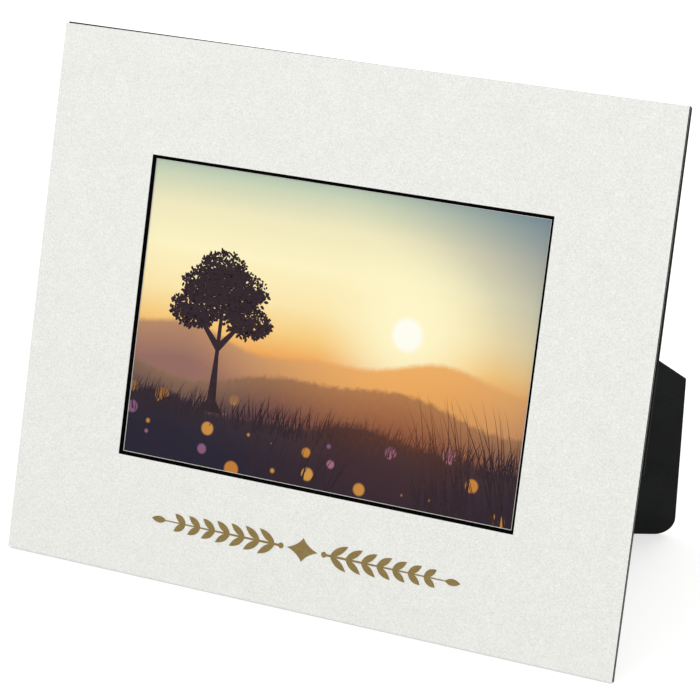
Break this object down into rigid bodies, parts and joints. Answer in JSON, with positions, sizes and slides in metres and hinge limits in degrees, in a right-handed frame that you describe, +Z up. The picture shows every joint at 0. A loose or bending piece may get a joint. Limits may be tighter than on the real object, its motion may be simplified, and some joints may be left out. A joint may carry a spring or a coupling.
{
  "type": "picture mount",
  "caption": "Freestanding landscape picture mount: a bevelled window over a slip-in print, leaning back on a diagonal fold-out easel strut cut from its back board.",
  "frame": {"origin": "under the middle of the whole object, on the surface it stands on", "axes": "+X to the viewer's right along the mount's long side, +Y from the front to the back, +Z up; the board leans back about X"},
  "size_m": [0.254, 0.1374, 0.1978],
  "materials": {
    "facing": "off-white facing paper with a fine embossed grain",
    "core": "matt black core board, seen in the bevel and at the cut edges, and the sheet behind the pocket",
    "lining": "plain pale lining and spacer paper",
    "back_card": "matt near-black card",
    "photo_paper": "satin photographic paper",
    "foil": "hot-stamped old-gold metallic foil, satin",
    "sky_high": "satin print, pale grey-green sky",
    "sky_low": "satin print, cream sky",
    "sun": "satin print, pale yellow sun",
    "far_hills": "satin print, amber hills",
    "near_hills": "satin print, plum-brown hills",
    "shore": "satin print, deep indigo shore",
    "amber_light": "satin print, amber lights",
    "violet_light": "satin print, violet lights"
  },
  "bodies": {
    "root": {"facing_paper": "facing", "core_board": "core", "lining_paper": "lining", "spacer_top": "lining", "spacer_left": "lining", "spacer_bottom": "lining", "print_sheet": "photo_paper", "ink_sky_high": "sky_high", "ink_sky_low": "sky_low", "ink_far_hills": "far_hills", "ink_near_hills": "near_hills", "ink_shore": "shore", "ink_sun": "sun", "ink_light_1": "violet_light", "ink_light_2": "amber_light", "ink_light_3": "violet_light", "ink_light_4": "amber_light", "ink_light_5": "amber_light", "ink_light_6": "violet_light", "pocket_liner": "core", "back_board": "back_card", "foil_lozenge": "foil", "foil_sprig_left": "foil", "foil_sprig_right": "foil"}
  },
  "joints": []
}
